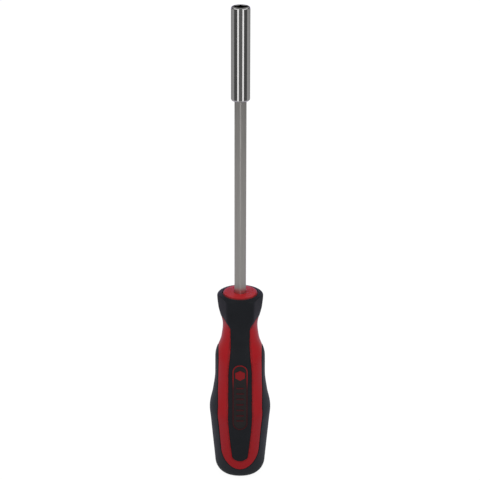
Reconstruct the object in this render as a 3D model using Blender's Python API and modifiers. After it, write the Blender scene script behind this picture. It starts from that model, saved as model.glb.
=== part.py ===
"""Bit holder screwdriver: a magnetic hex socket on a hexagonal shaft, in a two colour soft grip handle.

The tool stands on its pommel. Its axis is Z, its base is at Z = 0 and its front faces -Y.
Lengths are in metres and angles in degrees. An angle on the handle is counted from the front,
towards +X.
"""

import math

import bmesh
import bpy
from mathutils import Vector

# Gaps and cutting
FIT_GAP = 0.0003
CUT_OVERRUN = 0.0015
MERGE_DISTANCE = 0.00001

# Handle outline, from the base up: the rise of each landmark above the one before, and its half width
POMMEL_RISE = 0.0081
POMMEL_HALF_WIDTH = 0.01442
POMMEL_ROUND_WIDTH = 0.00692
SWELL_RISE = 0.0269
SWELL_HALF_WIDTH = 0.0168
BELLY_RISE = 0.0072
BELLY_HALF_WIDTH = 0.0174
FINGER_RISE = 0.0108
FINGER_HALF_WIDTH = 0.01547
WAIST_RISE = 0.0110
WAIST_HALF_WIDTH = 0.01416
WAIST_LENGTH = 0.0110
WAIST_TOP_HALF_WIDTH = 0.01405
SLOPE_RISE = 0.0120
SLOPE_HALF_WIDTH = 0.01042
NECK_RISE = 0.0075
NECK_HALF_WIDTH = 0.0099
FLARE_RISE = 0.0115
FLARE_HALF_WIDTH = 0.01225
COLLAR_RISE = 0.0065
COLLAR_HALF_WIDTH = 0.0128
SHOULDER_RISE = 0.00125
SHOULDER_WIDTH = 0.0029
SHOULDER_LAND = 0.0003
DISC_RISE = 0.00065

# Handle section: an ellipse with a little squareness below, round at the neck
DEPTH_RATIO = 0.95
SQUARENESS = 2.2

# Collar section: six flats that keep the tool from rolling, between the neck and the collar's round rim
COLLAR_FLAT_RATIO = 0.945
COLLAR_FLAT_HALF_WIDTH = 0.0073
COLLAR_CORNER_POWER = 20
COLLAR_FLAT_RISE = 0.0065
COLLAR_FLAT_FADE = 0.0025

# Soft grips
GRIP_THICKNESS = 0.0022
BAND_RECESS = 0.0002
COLLAR_EDGE_RISE = 0.0047
TONGUE_ROUND = 0.0033
TONGUE_ROUND_POWER = 6
PANEL_ARCH_RISE = 0.0063
PANEL_ARCH_POWER = 4
BAND_FOOT_HEIGHT = 0.0079
BAND_FOOT_WIDTH = 0.0051
BAND_FOOT_ROUND = 0.0121
BAND_FOOT_POWER = 1.9

# Half angles of the tongue, about the front, at the landmarks it passes
TONGUE_ANGLE_COLLAR = 50.0
TONGUE_ANGLE_CORNER = 40.0
TONGUE_ANGLE_NECK = 34.2
TONGUE_ANGLE_SLOPE = 30.2
TONGUE_ANGLE_WAIST_TOP = 25.8
TONGUE_ANGLE_WAIST = 28.7
TONGUE_ANGLE_FINGER = 26.9
TONGUE_ANGLE_BELLY = 24.0
TONGUE_ANGLE_SWELL = 23.4
TONGUE_ANGLE_FOOT = 18.5

# Half angles of a side panel, about the side, at the landmarks it passes
PANEL_ANGLE_WAIST_TOP = 30.0
PANEL_ANGLE_WAIST = 28.8
PANEL_ANGLE_FINGER = 35.6
PANEL_ANGLE_BELLY = 43.3
PANEL_ANGLE_SWELL = 43.7
PANEL_ANGLE_FOOT = 44.8

# Badge on the front tongue
BADGE_FOOT_HEIGHT = 0.0350
BADGE_LENGTH = 0.0400
BADGE_HALF_WIDTH = 0.00445
BADGE_THICKNESS = 0.0013
BADGE_RIM = 0.0006
BADGE_PANEL_THICKNESS = 0.0005
HEX_MARK_ACROSS_FLATS = 0.0054
HEX_MARK_DROP = 0.0066
RIB_COUNT = 7
RIB_LENGTH = 0.0042
RIB_WIDTH = 0.0008
RIB_GAP = 0.0080
RIB_FOOT_MARGIN = 0.0062

# Hexagonal shaft and its winged tail
SHAFT_ACROSS_FLATS = 0.00635
SHAFT_VISIBLE_LENGTH = 0.1106
SHAFT_TAIL_LENGTH = 0.0800
SHAFT_CHAMFER = 0.0004
WING_WIDTH = 0.0094
WING_THICKNESS = 0.0024
WING_LENGTH = 0.0120
WING_COUNT = 2
WING_PITCH = 0.0200
WING_FIRST_DEPTH = 0.0380

# First shot moulded round the tail of the shaft
NECK_WALL = 0.0014
BELLY_WALL = 0.0045
INNER_CORE_COVER = 0.0120
INNER_CORE_FLOOR = 0.0080
INNER_CORE_BEVEL = 0.0040

# Socket
SLEEVE_WALL = 0.001305
SLEEVE_LENGTH = 0.0500
SLEEVE_TOP_ROUND = 0.0010
SLEEVE_FOOT_ROUND = 0.0011
HEX_ACROSS_FLATS = 0.0064
HEX_DEPTH = 0.0160
HEX_RUNOUT = 0.0010
MOUTH_CHAMFER_WIDTH = 0.0005
MAGNET_LENGTH = 0.0060
MAGNET_CHAMFER = 0.0003
RING_WIRE = 0.0008
RING_BITE = 0.00015
RING_DEPTH = 0.0050
RING_OPENING = 46.0

# Mesh fineness
TURN_STEPS = 32
ARC_STEPS = 4
STRIP_COLUMNS = 8
GAP_COLUMNS = 8
SPAN_ROWS = 2
RING_ROWS = 5
BADGE_ROWS = 12
RING_POINTS = 24

# Landmark heights of the handle
POMMEL_HEIGHT = POMMEL_RISE
SWELL_HEIGHT = POMMEL_HEIGHT + SWELL_RISE
BELLY_HEIGHT = SWELL_HEIGHT + BELLY_RISE
FINGER_HEIGHT = BELLY_HEIGHT + FINGER_RISE
WAIST_HEIGHT = FINGER_HEIGHT + WAIST_RISE
WAIST_TOP_HEIGHT = WAIST_HEIGHT + WAIST_LENGTH
SLOPE_HEIGHT = WAIST_TOP_HEIGHT + SLOPE_RISE
NECK_HEIGHT = SLOPE_HEIGHT + NECK_RISE
FLARE_HEIGHT = NECK_HEIGHT + FLARE_RISE
COLLAR_HEIGHT = FLARE_HEIGHT + COLLAR_RISE
SHOULDER_HEIGHT = COLLAR_HEIGHT + SHOULDER_RISE
DISC_HEIGHT = SHOULDER_HEIGHT + DISC_RISE

# Edges of the disc, the pommel's foot and the grips
COLLAR_EDGE_RADIUS = COLLAR_HALF_WIDTH - SHOULDER_WIDTH
BASE_RADIUS = POMMEL_HALF_WIDTH - POMMEL_ROUND_WIDTH
COLLAR_EDGE_HEIGHT = NECK_HEIGHT + COLLAR_EDGE_RISE
TONGUE_FOOT_HEIGHT = BAND_FOOT_HEIGHT + BAND_FOOT_WIDTH + TONGUE_ROUND
PANEL_FOOT_HEIGHT = BAND_FOOT_HEIGHT + BAND_FOOT_ROUND

# Heights along the shaft and the socket
TAIL_END_HEIGHT = DISC_HEIGHT - SHAFT_TAIL_LENGTH
SLEEVE_FOOT_HEIGHT = DISC_HEIGHT + SHAFT_VISIBLE_LENGTH
TIP_HEIGHT = SLEEVE_FOOT_HEIGHT + SLEEVE_LENGTH
SEAT_HEIGHT = TIP_HEIGHT - HEX_DEPTH
MAGNET_TOP_HEIGHT = SEAT_HEIGHT - FIT_GAP
MAGNET_FOOT_HEIGHT = MAGNET_TOP_HEIGHT - MAGNET_LENGTH
SHAFT_END_HEIGHT = MAGNET_FOOT_HEIGHT - FIT_GAP
RING_HEIGHT = TIP_HEIGHT - RING_DEPTH

# Widths of the shaft, the core and the socket
FLAT_TO_CORNER = math.cos(math.radians(30.0))
BORE_ACROSS_FLATS = SHAFT_ACROSS_FLATS + 2 * FIT_GAP
INNER_CORE_NECK_RADIUS = NECK_HALF_WIDTH - GRIP_THICKNESS - 2 * FIT_GAP - NECK_WALL
INNER_CORE_BELLY_RADIUS = BELLY_HALF_WIDTH * DEPTH_RATIO - GRIP_THICKNESS - 2 * FIT_GAP - BELLY_WALL
HEX_CORNER = HEX_ACROSS_FLATS / 2 / FLAT_TO_CORNER
SLEEVE_RADIUS = HEX_CORNER + SLEEVE_WALL
RING_RADIUS = HEX_ACROSS_FLATS / 2 - RING_BITE + RING_WIRE / 2


def collection(name):
    """A new collection in the scene."""
    made = bpy.data.collections.new(name)
    bpy.context.scene.collection.children.link(made)
    return made


for old in list(bpy.data.objects):
    bpy.data.objects.remove(old)
PARTS = collection("bit_holder_screwdriver")
CUTTERS = collection("cutters")


def finish(name, colour, roughness, metallic):
    """A plain material for one piece."""
    made = bpy.data.materials.new(name)
    made.use_nodes = True
    shader = made.node_tree.nodes["Principled BSDF"]
    shader.inputs["Base Color"].default_value = (*colour, 1.0)
    shader.inputs["Roughness"].default_value = roughness
    shader.inputs["Metallic"].default_value = metallic
    return made


def add_object(name, data, material=None):
    """Link an object as a piece when it has a material, and as a cutter when it has none."""
    made = bpy.data.objects.new(name, data)
    if material is None:
        CUTTERS.objects.link(made)
        made.hide_render = True
        made.display_type = "WIRE"
    else:
        PARTS.objects.link(made)
        data.materials.append(material)
    return made


def smooth_value(stations, place):
    """Read a smooth curve through (place, value) stations, which never overshoots them."""
    spans = [b[0] - a[0] for a, b in zip(stations, stations[1:])]
    rates = [(b[1] - a[1]) / span for a, b, span in zip(stations, stations[1:], spans)]
    slopes = [rates[0]]
    for before, after, low, high in zip(rates, rates[1:], spans, spans[1:]):
        if before * after <= 0.0:
            slopes.append(0.0)
        else:
            heavy = 2 * high + low
            light = high + 2 * low
            slopes.append((heavy + light) / (heavy / before + light / after))
    slopes.append(0.0)
    index = 0
    while index < len(spans) - 1 and place > stations[index + 1][0]:
        index += 1
    t = min(max((place - stations[index][0]) / spans[index], 0.0), 1.0)
    low = stations[index][1]
    high = stations[index + 1][1]
    lift = spans[index] * (slopes[index] * t * (1 - t) ** 2 - slopes[index + 1] * t ** 2 * (1 - t))
    return low + (high - low) * t * t * (3 - 2 * t) + lift


OUTLINE = [
    (POMMEL_HEIGHT, POMMEL_HALF_WIDTH),
    (SWELL_HEIGHT, SWELL_HALF_WIDTH),
    (BELLY_HEIGHT, BELLY_HALF_WIDTH),
    (FINGER_HEIGHT, FINGER_HALF_WIDTH),
    (WAIST_HEIGHT, WAIST_HALF_WIDTH),
    (WAIST_TOP_HEIGHT, WAIST_TOP_HALF_WIDTH),
    (SLOPE_HEIGHT, SLOPE_HALF_WIDTH),
    (NECK_HEIGHT, NECK_HALF_WIDTH),
    (FLARE_HEIGHT, FLARE_HALF_WIDTH),
    (COLLAR_HEIGHT, COLLAR_HALF_WIDTH),
]

TONGUE_EDGE = [
    (TONGUE_FOOT_HEIGHT, TONGUE_ANGLE_FOOT),
    (SWELL_HEIGHT, TONGUE_ANGLE_SWELL),
    (BELLY_HEIGHT, TONGUE_ANGLE_BELLY),
    (FINGER_HEIGHT, TONGUE_ANGLE_FINGER),
    (WAIST_HEIGHT, TONGUE_ANGLE_WAIST),
    (WAIST_TOP_HEIGHT, TONGUE_ANGLE_WAIST_TOP),
    (SLOPE_HEIGHT, TONGUE_ANGLE_SLOPE),
    (NECK_HEIGHT, TONGUE_ANGLE_NECK),
    (NECK_HEIGHT + COLLAR_EDGE_RISE / 2, TONGUE_ANGLE_CORNER),
    (COLLAR_EDGE_HEIGHT, TONGUE_ANGLE_COLLAR),
]

PANEL_EDGE = [
    (PANEL_FOOT_HEIGHT, PANEL_ANGLE_FOOT),
    (SWELL_HEIGHT, PANEL_ANGLE_SWELL),
    (BELLY_HEIGHT, PANEL_ANGLE_BELLY),
    (FINGER_HEIGHT, PANEL_ANGLE_FINGER),
    (WAIST_HEIGHT, PANEL_ANGLE_WAIST),
    (WAIST_TOP_HEIGHT, PANEL_ANGLE_WAIST_TOP),
]


def half_width(height):
    """Half width of the handle at a height, with the pommel's round foot and the sloping shoulder."""
    if height < POMMEL_HEIGHT:
        share = 1 - max(height, 0.0) / POMMEL_RISE
        return BASE_RADIUS + (POMMEL_HALF_WIDTH - BASE_RADIUS) * math.sqrt(1 - share ** 2)
    if height > COLLAR_HEIGHT:
        share = min((height - COLLAR_HEIGHT) / SHOULDER_RISE, 1.0)
        return COLLAR_HALF_WIDTH - (SHOULDER_WIDTH - SHOULDER_LAND) * share
    return smooth_value(OUTLINE, height)


def eased(share):
    """A share from 0 to 1 that starts and ends gently."""
    share = min(max(share, 0.0), 1.0)
    return share * share * (3 - 2 * share)


def collar_section(angle, height):
    """Distance to the collar's flats at an angle, as a share of its half width, with rounded corners.

    The front and back flats keep their width all the way up, and the side flats turn to meet them.
    """
    tip = 2 ** (1 / COLLAR_CORNER_POWER)
    wide = half_width(min(height, COLLAR_HEIGHT))
    side = math.atan2(COLLAR_FLAT_RATIO, tip - COLLAR_FLAT_HALF_WIDTH / wide)
    side_ratio = math.sin(side) * tip
    total = 0.0
    for direction, ratio in ((0.0, COLLAR_FLAT_RATIO), (side, side_ratio), (-side, side_ratio)):
        facing = abs(math.cos(math.radians(angle) - direction))
        total += (facing / ratio) ** COLLAR_CORNER_POWER
    return total ** (-1 / COLLAR_CORNER_POWER)


def flat_share(height):
    """How far the collar's flats show at a height: not at the neck, nor at the round rim."""
    grown = eased((height - NECK_HEIGHT) / COLLAR_FLAT_RISE)
    return grown * eased((COLLAR_HEIGHT - height) / COLLAR_FLAT_FADE)


def handle_point(angle, height, width=None, inset=0.0):
    """The point of the handle's surface at an angle and a height."""
    wide = (half_width(height) if width is None else width) - inset
    rounding = eased((height - WAIST_TOP_HEIGHT) / (NECK_HEIGHT - WAIST_TOP_HEIGHT))
    power = SQUARENESS + (2.0 - SQUARENESS) * rounding
    deep = wide * (DEPTH_RATIO + (1.0 - DEPTH_RATIO) * rounding)
    turn = math.radians(angle)
    across = abs(math.sin(turn) / wide) ** power
    along = abs(math.cos(turn) / deep) ** power
    radius = (across + along) ** (-1.0 / power)
    radius *= 1 + (collar_section(angle, height) - 1) * flat_share(height)
    return Vector((radius * math.sin(turn), -radius * math.cos(turn), height))


def degrees_of(length, height):
    """The angle that a short length along the surface takes up at a height."""
    return math.degrees(length / half_width(height))


def add_strip(mesh, upper, lower, closed):
    """Fill the quads between two rows of vertices, seen from outside."""
    count = len(upper) if closed else len(upper) - 1
    for index in range(count):
        after = (index + 1) % len(upper)
        mesh.faces.new((upper[index], lower[index], lower[after], upper[after]))


def mesh_from(name, mesh, smooth=False):
    """Turn a finished bmesh into mesh data, shaded smooth where it is a rounded surface."""
    data = bpy.data.meshes.new(name)
    mesh.to_mesh(data)
    mesh.free()
    if smooth:
        data.shade_smooth()
    return data


def thicken(piece, depth, overrun=0.0):
    """Give an open surface its thickness: depth inwards, and overrun outwards."""
    wall = piece.modifiers.new("wall", "SOLIDIFY")
    wall.thickness = depth + overrun
    wall.offset = 2 * overrun / (depth + overrun) - 1.0
    wall.use_even_offset = True
    return piece


def combine(piece, tool, operation):
    """Cut a piece with a tool, join the tool to it, or keep what they share."""
    step = piece.modifiers.new(tool.name, "BOOLEAN")
    step.operation = operation
    step.object = tool
    step.solver = "EXACT"


def turned(name, profile, material=None):
    """A solid of revolution from a profile that runs down its outer side, as (radius, height)."""
    data = bpy.data.meshes.new(name)
    edges = [(index, index + 1) for index in range(len(profile) - 1)]
    data.from_pydata([(radius, 0.0, height) for radius, height in profile], edges, [])
    made = add_object(name, data, material)
    spin = made.modifiers.new("spin", "SCREW")
    spin.steps = TURN_STEPS
    spin.render_steps = TURN_STEPS
    spin.use_merge_vertices = True
    spin.merge_threshold = MERGE_DISTANCE
    return made


def round_corner(radius, height, size, start, end):
    """Points of a round corner about a centre, from one angle above the horizontal to another."""
    points = []
    for step in range(ARC_STEPS + 1):
        turn = math.radians(start + (end - start) * step / ARC_STEPS)
        points.append((radius + size * math.cos(turn), height + size * math.sin(turn)))
    return points


def hex_prism(name, across_flats, low, high, material=None):
    """A hexagonal bar or cutter along Z with two corners on the Y axis."""
    mesh = bmesh.new()
    corner = across_flats / 2 / FLAT_TO_CORNER
    bmesh.ops.create_cone(mesh, cap_ends=True, segments=6, radius1=corner, radius2=corner, depth=high - low)
    bmesh.ops.translate(mesh, verts=mesh.verts, vec=(0.0, 0.0, (low + high) / 2))
    return add_object(name, mesh_from(name, mesh), material)


def box(name, size, centre):
    """A box cutter."""
    mesh = bmesh.new()
    bmesh.ops.create_cube(mesh, size=1.0)
    bmesh.ops.scale(mesh, verts=mesh.verts, vec=size)
    bmesh.ops.translate(mesh, verts=mesh.verts, vec=centre)
    return add_object(name, mesh_from(name, mesh))


def spread(count):
    """Places from -1 to 1 that space the columns of a round ended strip evenly round its ends."""
    return [math.sin(math.pi * (index / count - 0.5)) for index in range(count + 1)]


def divided(marks):
    """Heights after the first mark up to the last, with every span between marks in equal steps."""
    heights = []
    for start, end in zip(marks, marks[1:]):
        heights += [start + (end - start) * step / SPAN_ROWS for step in range(1, SPAN_ROWS + 1)]
    return heights


def ring_columns(centre, half_angle):
    """Angles round the handle: the columns of two strips on opposite sides, and those between them."""
    angles = []
    for side in (centre, centre + 180.0):
        angles += [side + half_angle * place for place in spread(STRIP_COLUMNS)]
        gap = 180.0 - 2 * half_angle
        angles += [side + half_angle + gap * step / GAP_COLUMNS for step in range(1, GAP_COLUMNS)]
    return angles


def strip_columns(columns):
    """The columns of the ring that each of the two strips starts from."""
    half = len(columns) // 2
    return [range(start, start + STRIP_COLUMNS + 1) for start in (0, half)]


def upper_grip_surface(name, grow, material=None):
    """Collar with a tongue down the front and one down the back, larger all round by grow."""
    mesh = bmesh.new()
    edge_height = COLLAR_EDGE_HEIGHT - grow
    columns = ring_columns(0.0, TONGUE_ANGLE_COLLAR + degrees_of(grow, COLLAR_EDGE_HEIGHT))
    rows = []
    mouth = COLLAR_EDGE_RADIUS - grow
    rows.append([mesh.verts.new(handle_point(angle, SHOULDER_HEIGHT, mouth)) for angle in columns])
    for height in (SHOULDER_HEIGHT, COLLAR_HEIGHT):
        rows.append([mesh.verts.new(handle_point(angle, height)) for angle in columns])
    for step in range(1, RING_ROWS + 1):
        height = COLLAR_HEIGHT + (edge_height - COLLAR_HEIGHT) * step / RING_ROWS
        rows.append([mesh.verts.new(handle_point(angle, height)) for angle in columns])
    for upper, lower in zip(rows, rows[1:]):
        add_strip(mesh, upper, lower, True)
    inner_marks = [height for height, _ in reversed(TONGUE_EDGE[1:-1])]
    heights = divided([edge_height] + inner_marks + [TONGUE_FOOT_HEIGHT - grow])
    for side, strip in zip((0.0, 180.0), strip_columns(columns)):
        upper = [rows[-1][index] for index in strip]
        for step, height in enumerate(heights, 1):
            edge = smooth_value(TONGUE_EDGE, height) + degrees_of(grow, height)
            dip = TONGUE_ROUND * (step / len(heights)) ** TONGUE_ROUND_POWER
            lower = []
            for place in spread(STRIP_COLUMNS):
                level = height - dip * math.sqrt(max(1 - place ** 2, 0.0))
                lower.append(mesh.verts.new(handle_point(side + edge * place, level)))
            add_strip(mesh, upper, lower, False)
            upper = lower
    return add_object(name, mesh_from(name, mesh, smooth=True), material)


def band_foot(angle, half_angle):
    """Height of the pommel's upper edge under the band, at an angle from the middle of the U."""
    share = min(abs(angle) / half_angle, 1.0)
    drop = (1 - share ** BAND_FOOT_POWER) ** (1 / BAND_FOOT_POWER)
    return PANEL_FOOT_HEIGHT + (BAND_FOOT_HEIGHT - PANEL_FOOT_HEIGHT) * drop


def lower_grip_surface(name, grow, material=None):
    """Pommel with a panel up each side, larger all round by grow."""
    mesh = bmesh.new()
    panel_angle = PANEL_ANGLE_FOOT + degrees_of(grow, PANEL_FOOT_HEIGHT)
    band_angle = 90.0 - panel_angle
    columns = ring_columns(90.0, panel_angle)
    edges = []
    for angle in columns:
        from_middle = (angle + 90.0) % 180.0 - 90.0
        edges.append(band_foot(from_middle, band_angle) + grow)
    rows = []
    for step in range(RING_ROWS + 1):
        share = 1 - math.cos(math.pi / 2 * step / RING_ROWS)
        rows.append([mesh.verts.new(handle_point(a, edge * share)) for a, edge in zip(columns, edges)])
    mesh.faces.new(reversed(rows[0]))
    for lower, upper in zip(rows, rows[1:]):
        add_strip(mesh, upper, lower, True)
    inner_marks = [height for height, _ in PANEL_EDGE[1:-1]]
    heights = divided([PANEL_FOOT_HEIGHT + grow] + inner_marks + [WAIST_TOP_HEIGHT + grow])
    for side, strip in zip((90.0, 270.0), strip_columns(columns)):
        lower = [rows[-1][index] for index in strip]
        for step, height in enumerate(heights, 1):
            edge = smooth_value(PANEL_EDGE, height) + degrees_of(grow, height)
            rise = PANEL_ARCH_RISE * (step / len(heights)) ** PANEL_ARCH_POWER
            upper = []
            for place in spread(STRIP_COLUMNS):
                level = height + rise * math.sqrt(max(1 - place ** 2, 0.0))
                upper.append(mesh.verts.new(handle_point(side + edge * place, level)))
            add_strip(mesh, upper, lower, False)
            lower = upper
    return add_object(name, mesh_from(name, mesh, smooth=True), material)


def badge_surface(name, grow, material=None):
    """Round ended strip on the front tongue, larger all round by grow."""
    mesh = bmesh.new()
    half = BADGE_HALF_WIDTH + grow
    straight = BADGE_LENGTH / 2 - BADGE_HALF_WIDTH
    middle = BADGE_FOOT_HEIGHT + BADGE_LENGTH / 2
    upper = None
    for step in range(BADGE_ROWS + 1):
        share = 1 - 2 * step / BADGE_ROWS
        lower = []
        for place in spread(STRIP_COLUMNS):
            level = middle + share * (straight + half * math.sqrt(max(1 - place ** 2, 0.0)))
            lower.append(mesh.verts.new(handle_point(degrees_of(half * place, level), level)))
        if upper is not None:
            add_strip(mesh, upper, lower, False)
        upper = lower
    return add_object(name, mesh_from(name, mesh, smooth=True), material)


def handle_blank(name, material):
    """The whole handle in one solid, up to the top of the disc, before the grips are let in."""
    heights = [POMMEL_RISE * (1 - math.cos(math.pi / 2 * step / ARC_STEPS)) for step in range(ARC_STEPS)]
    marks = [height for height, _ in OUTLINE]
    for low, high in zip(marks, marks[1:]):
        heights += [low, (low + high) / 2]
    heights.append(COLLAR_HEIGHT)
    mesh = bmesh.new()
    angles = [360.0 * step / TURN_STEPS for step in range(TURN_STEPS)]
    rows = []
    for height in heights:
        rows.append([mesh.verts.new(handle_point(angle, height, inset=BAND_RECESS)) for angle in angles])
    crown = (COLLAR_HALF_WIDTH + COLLAR_EDGE_RADIUS) / 2
    rows.append([mesh.verts.new(handle_point(angle, DISC_HEIGHT, crown)) for angle in angles])
    mesh.faces.new(reversed(rows[0]))
    mesh.faces.new(rows[-1])
    for lower, upper in zip(rows, rows[1:]):
        add_strip(mesh, upper, lower, True)
    return add_object(name, mesh_from(name, mesh, smooth=True), material)


def tail_profile(grow):
    """Outline of the first shot round the shaft's tail, from its top down, larger all round by grow."""
    top = DISC_HEIGHT - INNER_CORE_COVER
    slim = INNER_CORE_NECK_RADIUS + grow
    full = INNER_CORE_BELLY_RADIUS + grow
    floor = TAIL_END_HEIGHT - INNER_CORE_FLOOR
    return [
        (0.0, top + grow),
        (slim, top + grow),
        (slim, SLOPE_HEIGHT),
        (full, FINGER_HEIGHT),
        (full, floor + INNER_CORE_BEVEL),
        (full - INNER_CORE_BEVEL, floor - grow),
        (0.0, floor - grow),
    ]


def end_cones(name, across_flats, low, high):
    """What a hexagonal bar keeps when both its ends are chamfered."""
    corner = across_flats / 2 / FLAT_TO_CORNER
    wide = corner + CUT_OVERRUN
    rise = SHAFT_CHAMFER + CUT_OVERRUN
    return turned(name, [
        (0.0, high),
        (corner - SHAFT_CHAMFER, high),
        (wide, high - rise),
        (wide, low + rise),
        (corner - SHAFT_CHAMFER, low),
        (0.0, low),
    ])


def shaft_bar(name, grow, top, material=None):
    """The hexagonal shaft up to a height, with the swaged wings of its tail, larger all round by grow."""
    width = SHAFT_ACROSS_FLATS + 2 * grow
    foot = TAIL_END_HEIGHT - grow
    made = hex_prism(name, width, foot, top, material)
    combine(made, end_cones(f"{name}_ends", width, foot, top), "INTERSECT")
    for index in range(WING_COUNT):
        height = DISC_HEIGHT - WING_FIRST_DEPTH - index * WING_PITCH
        size = (WING_WIDTH + 2 * grow, WING_THICKNESS + 2 * grow, WING_LENGTH + 2 * grow)
        combine(made, box(f"{name}_wing_{index + 1}", size, (0.0, 0.0, height)), "UNION")
    return made


# Shaft
SATIN_STEEL = finish("satin_steel", (0.42, 0.40, 0.38), 0.35, 1.0)
shaft_bar("shaft", 0.0, SHAFT_END_HEIGHT, SATIN_STEEL)

# First shot of the handle, moulded round the tail of the shaft
HARD_PLASTIC = finish("dark_hard_plastic", (0.05, 0.05, 0.055), 0.5, 0.0)
inner_core = turned("inner_core", tail_profile(0.0), HARD_PLASTIC)
tail_cutter = shaft_bar("tail_cutter", FIT_GAP, DISC_HEIGHT + CUT_OVERRUN)
combine(inner_core, tail_cutter, "DIFFERENCE")

# Hard red body, with pockets for the grips and a cavity for the first shot and the shaft
RED_PLASTIC = finish("red_hard_plastic", (0.29, 0.013, 0.016), 0.32, 0.0)
handle_core = handle_blank("handle_core", RED_PLASTIC)
upper_pocket = upper_grip_surface("upper_pocket", FIT_GAP)
thicken(upper_pocket, GRIP_THICKNESS + FIT_GAP, DISC_RISE + CUT_OVERRUN)
lower_pocket = lower_grip_surface("lower_pocket", FIT_GAP)
thicken(lower_pocket, GRIP_THICKNESS + FIT_GAP, CUT_OVERRUN)
core_cavity = turned("core_cavity", tail_profile(FIT_GAP))
shaft_hole = hex_prism("shaft_hole", BORE_ACROSS_FLATS, TAIL_END_HEIGHT, DISC_HEIGHT + CUT_OVERRUN)
for tool in (upper_pocket, lower_pocket, core_cavity, shaft_hole):
    combine(handle_core, tool, "DIFFERENCE")

# Soft grips
SOFT_BLACK = finish("soft_black_grip", (0.018, 0.019, 0.022), 0.55, 0.0)
upper_grip = thicken(upper_grip_surface("upper_grip", 0.0, SOFT_BLACK), GRIP_THICKNESS)
badge_pocket = thicken(badge_surface("badge_pocket", FIT_GAP), BADGE_THICKNESS + FIT_GAP, CUT_OVERRUN)
combine(upper_grip, badge_pocket, "DIFFERENCE")
POMMEL_BLACK = finish("soft_black_pommel", (0.018, 0.019, 0.022), 0.55, 0.0)
thicken(lower_grip_surface("lower_grip", 0.0, POMMEL_BLACK), GRIP_THICKNESS)


def badge_marks(name, grow):
    """Cutters for the hexagon and the ribs of the badge, as prisms along Y, larger all round by grow."""
    reach = BELLY_HALF_WIDTH + CUT_OVERRUN
    top = BADGE_FOOT_HEIGHT + BADGE_LENGTH
    mesh = bmesh.new()
    corner = HEX_MARK_ACROSS_FLATS / 2 / FLAT_TO_CORNER + grow
    bmesh.ops.create_cone(mesh, cap_ends=True, segments=6, radius1=corner, radius2=corner, depth=reach)
    hexagon = add_object(f"{name}_hexagon", mesh_from(f"{name}_hexagon", mesh))
    hexagon.rotation_euler.x = math.radians(90)
    hexagon.location = (0.0, -reach / 2, top - HEX_MARK_DROP)
    marks = [hexagon]
    first_rib = top - HEX_MARK_DROP - RIB_GAP
    last_rib = BADGE_FOOT_HEIGHT + RIB_FOOT_MARGIN
    for index in range(RIB_COUNT):
        height = first_rib + (last_rib - first_rib) * index / (RIB_COUNT - 1)
        size = (RIB_LENGTH + 2 * grow, reach, RIB_WIDTH + 2 * grow)
        marks.append(box(f"{name}_rib_{index + 1}", size, (0.0, -reach / 2, height)))
    return marks


# Badge: a red plate whose marks stand up through openings in the dark panel
BADGE_RED = finish("badge_red", (0.29, 0.013, 0.016), 0.4, 0.0)
badge_plate = thicken(badge_surface("badge_plate", 0.0, BADGE_RED), BADGE_THICKNESS)
recess = thicken(badge_surface("badge_recess", -BADGE_RIM), BADGE_PANEL_THICKNESS + FIT_GAP, CUT_OVERRUN)
for mark in badge_marks("raised", 0.0):
    combine(recess, mark, "DIFFERENCE")
combine(badge_plate, recess, "DIFFERENCE")
BADGE_DARK = finish("badge_dark", (0.016, 0.015, 0.016), 0.45, 0.0)
panel = badge_surface("badge_panel", -BADGE_RIM - FIT_GAP, BADGE_DARK)
thicken(panel, BADGE_PANEL_THICKNESS)
for mark in badge_marks("opening", FIT_GAP):
    combine(panel, mark, "DIFFERENCE")

# Socket sleeve
POLISHED_STEEL = finish("polished_stainless", (0.62, 0.61, 0.60), 0.12, 1.0)
sleeve_profile = [(0.0, TIP_HEIGHT)]
sleeve_profile += round_corner(
    SLEEVE_RADIUS - SLEEVE_TOP_ROUND, TIP_HEIGHT - SLEEVE_TOP_ROUND, SLEEVE_TOP_ROUND, 90.0, 0.0)
sleeve_profile += round_corner(
    SLEEVE_RADIUS - SLEEVE_FOOT_ROUND, SLEEVE_FOOT_HEIGHT + SLEEVE_FOOT_ROUND, SLEEVE_FOOT_ROUND, 0.0, -90.0)
sleeve_profile.append((0.0, SLEEVE_FOOT_HEIGHT))
bit_sleeve = turned("bit_sleeve", sleeve_profile, POLISHED_STEEL)

bore = hex_prism("sleeve_bore", BORE_ACROSS_FLATS, SLEEVE_FOOT_HEIGHT - CUT_OVERRUN, SEAT_HEIGHT)
hex_hole = hex_prism("hex_hole", HEX_ACROSS_FLATS, SEAT_HEIGHT - HEX_RUNOUT, TIP_HEIGHT + CUT_OVERRUN)
mouth = turned("mouth_chamfer", [
    (0.0, TIP_HEIGHT + CUT_OVERRUN),
    (HEX_CORNER + CUT_OVERRUN, TIP_HEIGHT + CUT_OVERRUN),
    (HEX_CORNER - MOUTH_CHAMFER_WIDTH, TIP_HEIGHT - MOUTH_CHAMFER_WIDTH),
    (0.0, TIP_HEIGHT - MOUTH_CHAMFER_WIDTH),
])
groove_radius = RING_RADIUS + RING_WIRE / 2 + FIT_GAP
groove_half = RING_WIRE / 2 + FIT_GAP
groove = turned("ring_groove", [
    (0.0, RING_HEIGHT + groove_half),
    (groove_radius, RING_HEIGHT + groove_half),
    (groove_radius, RING_HEIGHT - groove_half),
    (0.0, RING_HEIGHT - groove_half),
])
for tool in (bore, hex_hole, mouth, groove):
    combine(bit_sleeve, tool, "DIFFERENCE")

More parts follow.
